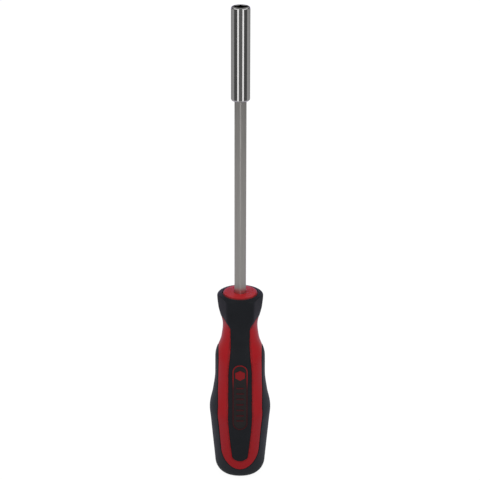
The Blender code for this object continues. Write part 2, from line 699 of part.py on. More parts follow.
# Magnet under the bit
MAGNET_NICKEL = finish("magnet_nickel", (0.55, 0.53, 0.50), 0.25, 1.0)
magnet_radius = BORE_ACROSS_FLATS / 2 - FIT_GAP
turned("magnet", [
    (0.0, MAGNET_TOP_HEIGHT),
    (magnet_radius - MAGNET_CHAMFER, MAGNET_TOP_HEIGHT),
    (magnet_radius, MAGNET_TOP_HEIGHT - MAGNET_CHAMFER),
    (magnet_radius, MAGNET_FOOT_HEIGHT + MAGNET_CHAMFER),
    (magnet_radius - MAGNET_CHAMFER, MAGNET_FOOT_HEIGHT),
    (0.0, MAGNET_FOOT_HEIGHT),
], MAGNET_NICKEL)

# Sprung ring that grips the bit
SPRING_STEEL = finish("spring_steel", (0.35, 0.34, 0.33), 0.3, 1.0)
wire = bpy.data.curves.new("retaining_ring", "CURVE")
wire.dimensions = "3D"
wire.bevel_depth = RING_WIRE / 2
wire.bevel_resolution = 2
wire.use_fill_caps = True
spline = wire.splines.new("POLY")
spline.points.add(RING_POINTS)
for index, point in enumerate(spline.points):
    turn = math.radians(RING_OPENING / 2 + (360.0 - RING_OPENING) * index / RING_POINTS)
    point.co = (RING_RADIUS * math.sin(turn), RING_RADIUS * math.cos(turn), RING_HEIGHT, 1.0)
add_object("retaining_ring", wire, SPRING_STEEL)
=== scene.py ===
import math

import bmesh
import bpy
from mathutils import Matrix, Vector


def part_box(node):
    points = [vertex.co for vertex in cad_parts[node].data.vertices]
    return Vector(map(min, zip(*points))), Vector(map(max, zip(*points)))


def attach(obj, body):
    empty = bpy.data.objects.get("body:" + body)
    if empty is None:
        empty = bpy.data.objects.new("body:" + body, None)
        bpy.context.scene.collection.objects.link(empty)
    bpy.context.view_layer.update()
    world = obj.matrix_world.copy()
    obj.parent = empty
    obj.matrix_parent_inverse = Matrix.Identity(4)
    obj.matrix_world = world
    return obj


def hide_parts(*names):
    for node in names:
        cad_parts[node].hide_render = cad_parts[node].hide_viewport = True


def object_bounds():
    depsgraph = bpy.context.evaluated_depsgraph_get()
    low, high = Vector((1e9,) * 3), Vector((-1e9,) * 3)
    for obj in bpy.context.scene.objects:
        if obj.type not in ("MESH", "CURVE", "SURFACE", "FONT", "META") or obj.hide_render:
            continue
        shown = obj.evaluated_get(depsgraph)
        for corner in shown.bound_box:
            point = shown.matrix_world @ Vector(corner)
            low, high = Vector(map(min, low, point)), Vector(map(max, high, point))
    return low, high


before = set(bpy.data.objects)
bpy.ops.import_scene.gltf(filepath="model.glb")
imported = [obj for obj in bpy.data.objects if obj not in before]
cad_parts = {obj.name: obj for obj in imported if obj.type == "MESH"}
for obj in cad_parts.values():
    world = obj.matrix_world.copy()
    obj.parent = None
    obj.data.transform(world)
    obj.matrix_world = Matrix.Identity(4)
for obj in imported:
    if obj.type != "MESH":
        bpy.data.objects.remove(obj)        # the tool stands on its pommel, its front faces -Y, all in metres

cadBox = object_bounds()
scene = bpy.context.scene
mm = 0.001        # piece dictionaries and handle shapes are written in millimetres
mergeGap = 1e-6
quarterCircle = math.pi / 2
hexTurn = 60.0        # from one corner of a hexagon to the next
flatToCorner = math.cos(math.radians(hexTurn / 2))        # half of a hexagon's width, flats over corners

# Camera

cameraSet = {
    "lens": 105.0,
    "sensor": 36.0,
    "place": (-0.00016, -0.7028, 0.4466),
    "tilt": 66.8,
    "roll": 0.09,
}


def placeCamera():
    data = bpy.data.cameras.new("photoCamera")
    data.lens = cameraSet["lens"]
    data.sensor_width = cameraSet["sensor"]
    camera = bpy.data.objects.new("photoCamera", data)
    scene.collection.objects.link(camera)
    tilt = Matrix.Rotation(math.radians(cameraSet["tilt"]), 4, "X")
    roll = Matrix.Rotation(math.radians(cameraSet["roll"]), 4, "Z")
    camera.matrix_world = Matrix.Translation(cameraSet["place"]) @ tilt @ roll
    scene.camera = camera


placeCamera()
print("camera placed")

# Shader groups that several finishes share


def addNode(tree, kind, inputs, **options):        # an input takes a plain value or another node's output
    node = tree.nodes.new(kind)
    for option, value in options.items():
        setattr(node, option, value)
    for label, value in inputs.items():
        if isinstance(value, bpy.types.NodeSocket):
            tree.links.new(value, node.inputs[label])
        else:
            node.inputs[label].default_value = value
    return node


def addMath(tree, operation, *values):
    return addNode(tree, "ShaderNodeMath", dict(enumerate(values)), operation=operation).outputs["Value"]


def addNoise(tree, place, scale, detail, roughness):
    inputs = {"Vector": place, "Scale": scale, "Detail": detail, "Roughness": roughness}
    return addNode(tree, "ShaderNodeTexNoise", inputs).outputs["Fac"]


def addRange(tree, value, low, high, toLow=0.0, toHigh=1.0):
    inputs = {"Value": value, "From Min": low, "From Max": high, "To Min": toLow, "To Max": toHigh}
    return addNode(tree, "ShaderNodeMapRange", inputs).outputs["Result"]


def startGroup(name, label, value, masks):        # takes a place and one setting, and puts out masks
    group = bpy.data.node_groups.new(name, "ShaderNodeTree")
    group.interface.new_socket(name="Place", in_out="INPUT", socket_type="NodeSocketVector")
    kind = "NodeSocketVector" if isinstance(value, tuple) else "NodeSocketFloat"
    group.interface.new_socket(name=label, in_out="INPUT", socket_type=kind).default_value = value
    for mask in masks:
        group.interface.new_socket(name=mask, in_out="OUTPUT", socket_type="NodeSocketFloat")
    start = group.nodes.new("NodeGroupInput").outputs
    end = group.nodes.new("NodeGroupOutput").inputs
    return group, start["Place"], start[label], end


def makeMouldGrain():        # spark eroded texture of a moulded skin: small cells over a faint flow
    group, place, grains, end = startGroup("mouldGrain", "Grains per metre", 1800.0, ("Height", "Shade"))
    cells = addNode(group, "ShaderNodeTexVoronoi", {"Vector": place, "Scale": grains}, feature="SMOOTH_F1")
    cellShare = 0.7
    flow = addNoise(group, place, scale=140.0, detail=3.0, roughness=0.55)
    height = addMath(group, "MULTIPLY_ADD", cells.outputs["Distance"], cellShare, flow)
    group.links.new(height, end["Height"])
    group.links.new(addRange(group, flow, low=0.3, high=0.7), end["Shade"])
    return group


def makeToolLines():        # fine lines that a lathe, a grinder or a drawing die leaves, set by Stretch
    group, place, stretch, end = startGroup("toolLines", "Stretch", (1.0, 1.0, 1.0), ("Height", "Streak"))
    drawn = addNode(group, "ShaderNodeVectorMath", {0: place, 1: stretch}, operation="MULTIPLY")
    lines = addNoise(group, drawn.outputs["Vector"], scale=1.0, detail=4.0, roughness=0.6)
    group.links.new(lines, end["Height"])
    group.links.new(addRange(group, lines, low=0.35, high=0.65), end["Streak"])
    return group


def makeHandling():        # smudges of use, and small scuffs that show where the mask is high
    group, place, patches, end = startGroup("handling", "Patches per metre", 60.0, ("Smudge", "Scuff"))
    specksPerPatch = 14.0
    smudge = addNoise(group, place, scale=patches, detail=5.0, roughness=0.6)
    fine = addMath(group, "MULTIPLY", patches, specksPerPatch)
    specks = addNoise(group, place, scale=fine, detail=2.0, roughness=0.5)
    group.links.new(addRange(group, smudge, low=0.35, high=0.68), end["Smudge"])
    group.links.new(addRange(group, specks, low=0.66, high=0.8), end["Scuff"])
    return group


def makePaintedEdgeShade():        # painted shade in gaps and along edges: the rim attribute broken up by noise
    group, place, rim, end = startGroup("paintedEdgeShade", "Rim", 0.0, ("PaintedShade",))
    patches = addNoise(group, place, scale=420.0, detail=4.0, roughness=0.6)
    breakUp = addRange(group, patches, low=0.3, high=0.7, toLow=0.15)
    group.links.new(addMath(group, "MULTIPLY", rim, breakUp), end["PaintedShade"])
    return group


mouldGrain = makeMouldGrain()
toolLines = makeToolLines()
handling = makeHandling()
paintedEdgeShade = makePaintedEdgeShade()

# Finishes


class Finish:        # one material: its shader, its object coordinates and short ways to wire them
    def __init__(self, name, metallic, specular):
        self.material = bpy.data.materials.new(name)
        self.material.use_nodes = True
        self.tree = self.material.node_tree
        self.shader = self.tree.nodes["Principled BSDF"]
        self.put("Metallic", metallic)
        self.put("Specular IOR Level", specular)
        self.place = self.tree.nodes.new("ShaderNodeTexCoord").outputs["Object"]

    def put(self, label, value):
        self.shader.inputs[label].default_value = value

    def group(self, group, label, value):
        inputs = {"Place": self.place, label: value}
        return addNode(self.tree, "ShaderNodeGroup", inputs, node_tree=group).outputs

    def height(self):        # along the tool
        return addNode(self.tree, "ShaderNodeSeparateXYZ", {0: self.place}).outputs["Z"]

    def reach(self):        # distance from the tool's axis
        inputs = {0: self.place, 1: (1.0, 1.0, 0.0)}
        flat = addNode(self.tree, "ShaderNodeVectorMath", inputs, operation="MULTIPLY").outputs["Vector"]
        return addNode(self.tree, "ShaderNodeVectorMath", {0: flat}, operation="LENGTH").outputs["Value"]

    # painted shade in the gaps and along edges, read from the rim attribute
    def paintedShadeMask(self):
        rim = addNode(self.tree, "ShaderNodeAttribute", {}, attribute_name="rim").outputs["Fac"]
        return self.group(paintedEdgeShade, "Rim", rim)["PaintedShade"]

    def blend(self, mask, low, high):
        low, high = ((*value, 1.0) if isinstance(value, tuple) else value for value in (low, high))
        return addNode(self.tree, "ShaderNodeMix", {0: mask, 6: low, 7: high}, data_type="RGBA").outputs[2]

    def colour(self, source):
        self.tree.links.new(source, self.shader.inputs["Base Color"])

    def roughness(self, mask, low, high):
        self.tree.links.new(addRange(self.tree, mask, 0.0, 1.0, low, high), self.shader.inputs["Roughness"])

    def bump(self, height, strength, distance):
        inputs = {"Height": height, "Strength": strength, "Distance": distance}
        normal = addNode(self.tree, "ShaderNodeBump", inputs).outputs["Normal"]
        self.tree.links.new(normal, self.shader.inputs["Normal"])


plastics = {        # bump: strength and distance of the moulded grain
    "soft": {"specular": 0.24, "grains": 2100.0, "patches": 75.0, "bump": (0.35, 0.00012)},
    "red": {"specular": 0.22, "grains": 3200.0, "patches": 55.0, "bump": (0.10, 0.00006)},
    "dark": {"specular": 0.35, "grains": 2600.0, "patches": 90.0, "bump": (0.2, 0.00006)},
}


def plasticFinish(kind, name, dark, light, roughness):
    look = plastics[kind]
    finish = Finish(name, 0.0, look["specular"])
    grain = finish.group(mouldGrain, "Grains per metre", look["grains"])
    finish.marks = finish.group(handling, "Patches per metre", look["patches"])
    finish.skin = finish.blend(grain["Shade"], dark, light)
    finish.roughness(finish.marks["Smudge"], *roughness)
    finish.bump(grain["Height"], *look["bump"])
    return finish


gripTouch = {
    "roughness": (0.52, 0.62),
    "sheenRoughness": 0.4,
    "sheenTint": (0.80, 0.90, 1.0, 1.0),
    "scuffed": (0.014, 0.016, 0.020),
    # painted shade: the grip darkens where its rolled edge turns into the gap
    "gapShade": (0.0055, 0.0064, 0.0085),
}


def softGripFinish(name, sheen, dark, light):
    finish = plasticFinish("soft", name, dark, light, gripTouch["roughness"])
    finish.put("Sheen Weight", sheen)
    finish.put("Sheen Roughness", gripTouch["sheenRoughness"])
    finish.put("Sheen Tint", gripTouch["sheenTint"])
    dusted = finish.blend(finish.marks["Scuff"], finish.skin, gripTouch["scuffed"])
    # painted shade in the gap, over the dusted skin
    finish.colour(finish.blend(finish.paintedShadeMask(), dusted, gripTouch["gapShade"]))
    return finish.material


# painted shade: darker red in the gaps, along the bands' inner edges and on the disc's lip
redGapShade = (0.17, 0.006, 0.008)


def redPlasticFinish(name, dark, light, roughness, lowerRedLevels, lowerShadeAndPrintRed):        # full red from the upper level, the lower red below the lower one
    finish = plasticFinish("red", name, dark, light, roughness)
    body = finish.blend(addRange(finish.tree, finish.height(), *lowerRedLevels), lowerShadeAndPrintRed, finish.skin)
    finish.colour(finish.blend(finish.paintedShadeMask(), body, redGapShade))
    return finish.material


def darkPlasticFinish(name, dark, light, roughness):
    finish = plasticFinish("dark", name, dark, light, roughness)
    finish.colour(finish.skin)
    return finish.material


steelTouch = {
    "specular": 0.5,
    "grazing": (0.6, 0.6, 0.6, 1.0),        # light that grazes the steel stays grey
    "patches": 85.0,
}
paintedBoreShade = {        # in metres: painted shade darkens the socket's bore within this reach and below this top
    "reach": (0.0038, 0.003952),
    "top": (0.2745, 0.2746647),
    "shade": (0.045, 0.044, 0.042),
}


def steelFinish(name, dark, light, roughness, stretch, bump, boreShade=None):
    finish = Finish(name, 1.0, steelTouch["specular"])
    finish.put("Specular Tint", steelTouch["grazing"])
    lines = finish.group(toolLines, "Stretch", stretch)
    marks = finish.group(handling, "Patches per metre", steelTouch["patches"])
    drawn = finish.blend(lines["Streak"], dark, light)
    # painted shade inside the socket's bore, darker within its reach and below its top
    if boreShade:
        within = addRange(finish.tree, finish.reach(), *boreShade["reach"], 1.0, 0.0)
        below = addRange(finish.tree, finish.height(), *boreShade["top"], 1.0, 0.0)
        drawn = finish.blend(addMath(finish.tree, "MULTIPLY", within, below), drawn, boreShade["shade"])
    finish.colour(finish.blend(marks["Scuff"], drawn, dark))
    finish.roughness(marks["Smudge"], *roughness)
    finish.bump(lines["Height"], *bump)
    return finish.material


finishes = {
    "sleeve": steelFinish(
        "polishedStainless", dark=(0.62, 0.615, 0.61), light=(0.68, 0.675, 0.67), roughness=(0.05, 0.09),
        stretch=(90.0, 90.0, 5200.0), bump=(0.02, 0.00001), boreShade=paintedBoreShade),
    "shaft": steelFinish(
        "satinSteel", dark=(0.57, 0.55, 0.525), light=(0.67, 0.65, 0.62), roughness=(0.30, 0.38),
        stretch=(5200.0, 5200.0, 60.0), bump=(0.12, 0.00003)),
    "magnet": steelFinish(
        "nickelPlate", dark=(0.46, 0.44, 0.40), light=(0.55, 0.53, 0.49), roughness=(0.18, 0.30),
        stretch=(900.0, 900.0, 900.0), bump=(0.08, 0.00002)),
    "ring": steelFinish(
        "springSteel", dark=(0.28, 0.275, 0.27), light=(0.36, 0.35, 0.34), roughness=(0.22, 0.34),
        stretch=(2600.0, 2600.0, 2600.0), bump=(0.1, 0.00002)),
    # painted shade: the red body is darker towards the bottom
    "core": redPlasticFinish(
        "redHardPlastic", dark=(0.360, 0.0064, 0.0108), light=(0.390, 0.0076, 0.0122),
        roughness=(0.26, 0.35), lowerRedLevels=(0.030, 0.112), lowerShadeAndPrintRed=(0.310, 0.0080, 0.0122)),
    "grip": softGripFinish(
        "softBlackGrip", sheen=0.02, dark=(0.0068, 0.0082, 0.0114), light=(0.0086, 0.0102, 0.0140)),
    # painted light: the pommel's black is a lighter copy of the grip's, with more sheen
    "pommel": softGripFinish(
        "softBlackPommelPaintedLight", sheen=0.07, dark=(0.0140, 0.0162, 0.0208), light=(0.0170, 0.0192, 0.0244)),
    # the badge plate's lower red is its printed dark red
    "badgePlate": redPlasticFinish(
        "badgeRed", dark=(0.210, 0.0065, 0.0095), light=(0.230, 0.0078, 0.0110),
        roughness=(0.34, 0.42), lowerRedLevels=(0.060, 0.066), lowerShadeAndPrintRed=(0.046, 0.0062, 0.0085)),
    "badgePanel": darkPlasticFinish(
        "badgeDark", dark=(0.0108, 0.0076, 0.0082), light=(0.0146, 0.0102, 0.0108), roughness=(0.38, 0.48)),
    "innerCore": darkPlasticFinish(
        "hiddenPlastic", dark=(0.042, 0.042, 0.046), light=(0.056, 0.056, 0.061), roughness=(0.45, 0.58)),
}
print("finishes made:", ", ".join(finishes))

# Shaping helpers


def linkMesh(name, bm):
    data = bpy.data.meshes.new(name)
    bm.to_mesh(data)
    bm.free()
    made = bpy.data.objects.new(name, data)
    scene.collection.objects.link(made)
    return made


def closedMesh(name, bm):        # doubles merged and faces turned outwards
    bmesh.ops.remove_doubles(bm, verts=bm.verts, dist=mergeGap)
    bmesh.ops.recalc_face_normals(bm, faces=bm.faces)
    return linkMesh(name, bm)


def finishPiece(name, bm, finish, node, sharpAngle=38.0, flatFaces=False):
    piece = closedMesh(name, bm)
    piece.data.shade_smooth()
    piece.data.set_sharp_from_angle(angle=math.radians(sharpAngle))
    piece.data.materials.append(finishes[finish])
    if flatFaces:        # broad faces keep their own normal beside narrow rounds
        weight = piece.modifiers.new("flatFaces", "WEIGHTED_NORMAL")
        weight.weight = 100
        weight.keep_sharp = True
    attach(piece, "root")
    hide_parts(node)
    print("made", name, "for", node, "with", len(piece.data.polygons), "faces")


def shapedGrid(bm, columns, rows, pointAt, paintedShadeAt=None):        # a flat grid moved on to a surface, with a painted shade mask in its rim layer
    rim = bm.verts.layers.float.get("rim") or bm.verts.layers.float.new("rim")
    made = bmesh.ops.create_grid(bm, x_segments=columns, y_segments=rows, size=0.5)["verts"]
    for vert in made:
        column = round((vert.co.x + 0.5) * columns)
        row = round((vert.co.y + 0.5) * rows)
        vert.co = pointAt(column, row) * mm
        if paintedShadeAt:
            vert[rim] = paintedShadeAt(row)


def smoothThrough(stations, place):        # a curve through (place, value) stations that never overshoots
    spans = [b[0] - a[0] for a, b in zip(stations, stations[1:])]
    rates = [(b[1] - a[1]) / span for a, b, span in zip(stations, stations[1:], spans)]
    slopes = [rates[0]]
    for before, after, low, high in zip(rates, rates[1:], spans, spans[1:]):
        if before * after <= 0.0:
            slopes.append(0.0)
        else:
            heavy = 2 * high + low
            light = high + 2 * low
            slopes.append((heavy + light) / (heavy / before + light / after))
    slopes.append(0.0)
    index = 0
    while index < len(spans) - 1 and place > stations[index + 1][0]:
        index += 1
    t = min(max((place - stations[index][0]) / spans[index], 0.0), 1.0)
    low = stations[index][1]
    high = stations[index + 1][1]
    lift = spans[index] * (slopes[index] * t * (1 - t) ** 2 - slopes[index + 1] * t ** 2 * (1 - t))
    return low + (high - low) * t * t * (3 - 2 * t) + lift


def mixed(low, high, share):
    return low + (high - low) * share


def eased(share):
    share = min(max(share, 0.0), 1.0)
    return share * share * (3 - 2 * share)


def roundDip(place):        # height of a unit half circle over its own width
    return math.sqrt(max(1 - place * place, 0.0))


# Handle skin: an angle is counted from the front towards +X, a level is a height on the outer surface

handleForm = {
    "baseWidth": 7.5,
    "rimRound": 0.45,
    "mouthLevel": 113.75,
    "mouthWidth": 9.9,
    "mouthLand": 0.3,        # flat ring round the mouth, before the shoulder slopes down
    "outline": [        # level, half width, from the pommel's round to the collar's rim
        (8.1, 14.42), (35.0, 16.8), (42.2, 17.4), (53.0, 15.47), (64.0, 14.16),
        (75.0, 14.05), (87.0, 10.70), (94.5, 9.90), (106.0, 12.25), (112.5, 12.8),
    ],
    "squareness": 2.2,
    "depthRatio": 0.95,
    "squareUpTo": 75.0,
    "roundFrom": 94.5,
    "flatRise": 6.5,        # the collar's flats grow from the neck over this height
    "flatFade": 2.5,        # and end this far under the rim, but not at the front
    "flatRatio": 0.865,        # how far out the front flat lies, as a share of the half width
    "backRatio": 0.945,
    "flatHalf": 7.3,        # half width of the front and back flats, the same all the way up
    "flatPower": 20,        # the corners between the flats are crisper for a higher power
}
handleForm["pommelTop"], handleForm["pommelWidth"] = handleForm["outline"][0]
handleForm["collarTop"], handleForm["collarWidth"] = handleForm["outline"][-1]


def skinSize(level, depth):        # half width and height of the skin at a depth under the outer surface
    form = handleForm
    if level < form["pommelTop"]:
        swing = math.acos(1 - max(level, 0.0) / form["pommelTop"])
        wide = form["baseWidth"] + (form["pommelWidth"] - form["baseWidth"] - depth) * math.sin(swing)
        return wide, form["pommelTop"] - (form["pommelTop"] - depth) * math.cos(swing)
    return smoothThrough(form["outline"], level) - depth, level


def shoulderCorner(depth, reach):        # where wall and sloping shoulder would meet without a round
    form = handleForm
    run = form["collarWidth"] - form["mouthWidth"] - form["mouthLand"]
    slope = math.atan2(form["mouthLevel"] - form["collarTop"], run)
    drop = math.cos(slope) - (1 - math.sin(slope)) * math.tan(slope)
    wide = form["collarWidth"] - depth
    rise = wide * (1 - reach) * math.tan(slope)
    return Vector((wide * reach, form["collarTop"] - depth * drop + rise))


def shoulderRun(depth, reach):        # widths and heights from the wall's top, over the rim, to the mouth
    form = handleForm
    steps = fineness["shoulder"]
    corner = shoulderCorner(depth, reach)
    land = Vector((form["mouthWidth"] + form["mouthLand"], form["mouthLevel"] - depth))
    before = Vector((0.0, -form["rimRound"]))
    after = (land - corner).normalized() * form["rimRound"]
    run = []
    for step in range(1, steps + 1):
        share = step / steps
        run.append(corner + before * (1 - share) ** 3 + after * share ** 3)
    return run + [land, Vector((form["mouthWidth"], land.y))]


def flatReach(angle, level):        # distance to the collar's six flats, as a share of its half width
    form = handleForm
    power = form["flatPower"]
    wide = smoothThrough(form["outline"], min(level, form["collarTop"]))
    corner = 2 ** (1 / power)        # the side flats meet this far out, and rounding brings them back to 1
    middle = form["flatRatio"] if math.cos(math.radians(angle)) > 0 else form["backRatio"]
    turn = math.atan2(middle, corner - form["flatHalf"] / wide)
    sideRatio = math.sin(turn) * corner
    total = 0.0
    for facing, ratio in ((0.0, middle), (turn, sideRatio), (-turn, sideRatio)):
        total += (abs(math.cos(math.radians(angle) - facing)) / ratio) ** power
    return total ** (-1 / power)


def flatShare(level):        # how far the flats show: not at the neck, nor at the top
    form = handleForm
    grown = eased((level - form["roundFrom"]) / form["flatRise"])
    return grown * eased((form["collarTop"] - level) / form["flatFade"])


def sectionPoint(angle, level, wide, height):
    form = handleForm
    rounding = eased((level - form["squareUpTo"]) / (form["roundFrom"] - form["squareUpTo"]))
    power = mixed(form["squareness"], 2.0, rounding)        # 2 makes a plain ellipse
    deep = wide * mixed(form["depthRatio"], 1.0, rounding)
    turn = math.radians(angle)
    across = abs(math.sin(turn) / wide) ** power if wide else 0.0
    along = abs(math.cos(turn) / deep) ** power if wide else 1.0
    radius = (across + along) ** (-1.0 / power) if wide else 0.0
    radius *= mixed(1.0, flatReach(angle, level), flatShare(level))
    return Vector((radius * math.sin(turn), -radius * math.cos(turn), height))


def skinPoint(angle, level, depth):
    return sectionPoint(angle, level, *skinSize(level, depth))


# Edges between the red body and the soft grips

fineness = {        # steps in each stretch of the handle's meshes
    "tip": 12,
    "side": 64,
    "corner": 14,
    "flat": 6,
    "collar": 26,
    "shoulder": 7,
    "pommel": 18,
    "lip": 5,
    "band": 14,
    "badge": 14,
}
upperEdge = {        # tongue and collar: sides as level, angle
    "tipRise": 3.3,
    "sides": [
        (16.3, 18.4), (26.0, 21.5), (35.5, 23.5), (46.0, 24.4), (55.0, 27.5),
        (64.9, 29.1), (70.0, 28.7), (77.6, 26.4), (86.2, 30.1), (93.0, 34.0),
    ],
    "cornerAngle": 65.0,
    "cornerRise": 6.5,
    "tipBlend": 6,
}
lowerEdge = {        # pommel and side panels: sides as level, angle
    "footLevel": 7.2,
    "footRound": 1.9,
    "sides": [
        (20.0, 45.1), (36.0, 46.3), (46.4, 48.5), (50.7, 52.4), (55.1, 56.3),
        (59.7, 59.6), (64.0, 61.0), (74.9, 60.0),
    ],
    "archRise": 6.3,
    "archBlend": 4,
}
sideTurn = 90.0        # the angle of the handle's side
fullTurn = 4 * sideTurn


def swept(steps):        # places from 0 to 1 that space points evenly round a half circle
    return [math.sin(quarterCircle * step / steps) for step in range(steps)]


def sideRun(sides):
    low = sides[0][0]
    high = sides[-1][0]
    levels = [mixed(low, high, step / fineness["side"]) for step in range(fineness["side"])]
    return [(smoothThrough(sides, level), level) for level in levels]


def upperQuarter():        # from the middle of the tongue's tip to the side of the collar
    edge = upperEdge
    tipTop, tipAngle = edge["sides"][0]
    cornerLevel, cornerStart = edge["sides"][-1]
    places = swept(fineness["tip"])
    run = [(tipAngle * place, tipTop - edge["tipRise"] * roundDip(place)) for place in places]
    run += sideRun(edge["sides"])
    for place in swept(fineness["corner"]):
        angle = edge["cornerAngle"] - (edge["cornerAngle"] - cornerStart) * roundDip(place)
        run.append((angle, cornerLevel + edge["cornerRise"] * place))
    for step in range(fineness["flat"] + 1):
        angle = mixed(edge["cornerAngle"], sideTurn, step / fineness["flat"])
        run.append((angle, cornerLevel + edge["cornerRise"]))
    return run


def lowerQuarter():        # from the middle of the U's foot to the top of a side panel
    edge = lowerEdge
    footTop, footAngle = edge["sides"][0]
    archFoot, archAngle = edge["sides"][-1]
    power = edge["footRound"]
    run = []
    for place in swept(fineness["tip"]):
        drop = (1 - place ** power) ** (1 / power)
        run.append((footAngle * place, mixed(footTop, edge["footLevel"], drop)))
    run += sideRun(edge["sides"])
    steps = fineness["corner"] + fineness["flat"]
    for place in swept(steps) + [1.0]:
        run.append((mixed(sideTurn, archAngle, roundDip(place)), archFoot + edge["archRise"] * place))
    return run


def closedEdge(quarter):        # the quarter mirrored to the back and to the other side
    half = quarter + [(2 * sideTurn - angle, level) for angle, level in reversed(quarter[:-1])]
    return half + [(fullTurn - angle, level) for angle, level in reversed(half[1:-1])]


def pick(loop, index):        # a point of a closed loop, whose angle goes on growing past a full turn
    turns, place = divmod(index, len(loop))
    angle, level = loop[place]
    return angle + fullTurn * turns, level


def shifted(loop, distance):        # the edge moved along the skin, up where the distance is positive
    moved = []
    for index, (angle, level) in enumerate(loop):
        angleBefore, levelBefore = pick(loop, index - 1)
        angleAfter, levelAfter = pick(loop, index + 1)
        perDegree = math.radians(skinSize(level, 0.0)[0])
        run = (angleAfter - angleBefore) * perDegree
        rise = levelAfter - levelBefore
        size = math.hypot(run, rise)
        moved.append((angle - rise / size * distance / perDegree, level + run / size * distance))
    return moved


upperLoop = closedEdge(upperQuarter())
lowerLoop = closedEdge(lowerQuarter())
quarterTurn = len(upperLoop) // 4
frontMiddle = 0
backMiddle = 2 * quarterTurn
sideMiddles = (quarterTurn, 3 * quarterTurn)
tongueReach = fineness["tip"] + fineness["side"]
panelReach = fineness["corner"] + fineness["flat"]


def rolled(lip):        # inset and drop along a quarter circle, from the skin over to the wall
    turns = [quarterCircle * step / fineness["lip"] for step in range(fineness["lip"] + 1)]
    return [(lip * (1 - math.sin(turn)), lip * (1 - math.cos(turn))) for turn in turns]


def lipRows(loop, toward, gap, lip, top, bottom):        # a rolled edge and the wall under it
    rows = [(shifted(loop, toward * (gap + inset)), top + drop) for inset, drop in rolled(lip)]
    return rows + [(shifted(loop, toward * gap), bottom)]


def addLip(bm, rows):
    last = len(rows) - 1

    def pointAt(column, row):
        loop, depth = rows[row]
        return skinPoint(*pick(loop, column), depth)

    def paintedShadeAt(row):        # painted shade in the gap, full from half way down
        return min(2 * row / last, 1.0)

    shapedGrid(bm, len(rows[0][0]), last, pointAt, paintedShadeAt)


def collarColumns(loop):        # foot angle, foot level and evened angle of every column round the collar
    columns = []
    across = 2 * fineness["tip"]
    between = 2 * (quarterTurn - tongueReach)
    for middle in (frontMiddle, backMiddle):
        marks = (middle - tongueReach, middle + tongueReach, middle + tongueReach + between)
        low, high = (pick(loop, mark)[0] for mark in marks[:2])
        evenLow, evenHigh, evenFar = (pick(upperLoop, mark)[0] for mark in marks)
        level = pick(loop, marks[0])[1]
        for step in range(across):
            share = step / across
            columns.append((mixed(low, high, share), level, mixed(evenLow, evenHigh, share)))
        for step in range(between):
            angle, level = pick(loop, marks[1] + step)
            columns.append((angle, level, mixed(evenHigh, evenFar, step / between)))
    return columns


def hexReach(angle, flat):        # distance to the side of a hexagon that has a corner at angle 0
    return flat / math.cos(math.radians(angle % hexTurn - hexTurn / 2))


# rows of the mouth are (width, height) or (flat, height, "hex"), and shade is how much painted shade the
# first ones get
def addCollar(bm, loop, depth, mouthRows, shade=()):
    form = handleForm
    columns = collarColumns(loop)
    body = fineness["collar"]
    foot = body + fineness["shoulder"] + 2        # the ring round the mouth takes two rows
    flatTop = form["collarTop"] - form["flatFade"]
    drop = form["collarTop"] - shoulderCorner(depth, 1.0).y        # inner flats end this much sooner

    def pointAt(column, row):
        turns, place = divmod(column, len(columns))
        footAngle, footLevel, evenAngle = columns[place]
        share = min(row / body, 1.0)
        angle = mixed(footAngle, evenAngle, eased(share)) + fullTurn * turns
        front = not depth and math.cos(math.radians(angle)) > 0        # these flats run out through the rim
        reach = flatReach(angle, flatTop) if front else 1.0
        if row <= body:
            level = mixed(footLevel, shoulderCorner(depth, reach).y - form["rimRound"], share)
            shaped = min(level, flatTop) if front else level + drop * share ** 2
            return sectionPoint(angle, shaped, *skinSize(level, depth))
        if row <= foot:
            width, height = shoulderRun(depth, reach)[row - body - 1]
            return sectionPoint(angle, form["collarTop"] if front else height + drop, width, height)
        width, height, *shape = mouthRows[row - foot - 1]
        across = hexReach(angle, width) if shape else width
        return sectionPoint(angle, form["mouthLevel"], across, height)

    def paintedShadeAt(row):
        place = row - foot - 1
        return shade[place] if 0 <= place < len(shade) else 0.0

    shapedGrid(bm, len(columns), foot + len(mouthRows), pointAt, paintedShadeAt)


def addStrip(bm, loop, middle, depth, across, rise, blend):        # a negative rise has its round end below
    tall = fineness["side"]

    def pointAt(column, row):
        step = row if rise < 0 else tall - row        # counted from the round end
        if step == 0:
            return skinPoint(*pick(loop, middle - across + column), depth)
        lowAngle, level = pick(loop, middle - across - step)
        highAngle = pick(loop, middle + across + step)[0]
        nearEnd = (1 - step / tall) ** blend
        place = column / across - 1
        place = mixed(place, math.sin(quarterCircle * place), nearEnd)
        angle = mixed(lowAngle, highAngle, (place + 1) / 2)
        return skinPoint(angle, level + rise * nearEnd * roundDip(place), depth)

    shapedGrid(bm, 2 * across, tall, pointAt)


def addTongues(bm, loop, middles, depth):        # from the collar down to the tip
    for middle in middles:
        addStrip(bm, loop, middle, depth, fineness["tip"], -upperEdge["tipRise"], upperEdge["tipBlend"])


def addPanels(bm, loop, depth):        # up each side, to a round arch
    for middle in sideMiddles:
        addStrip(bm, loop, middle, depth, panelReach, lowerEdge["archRise"], lowerEdge["archBlend"])


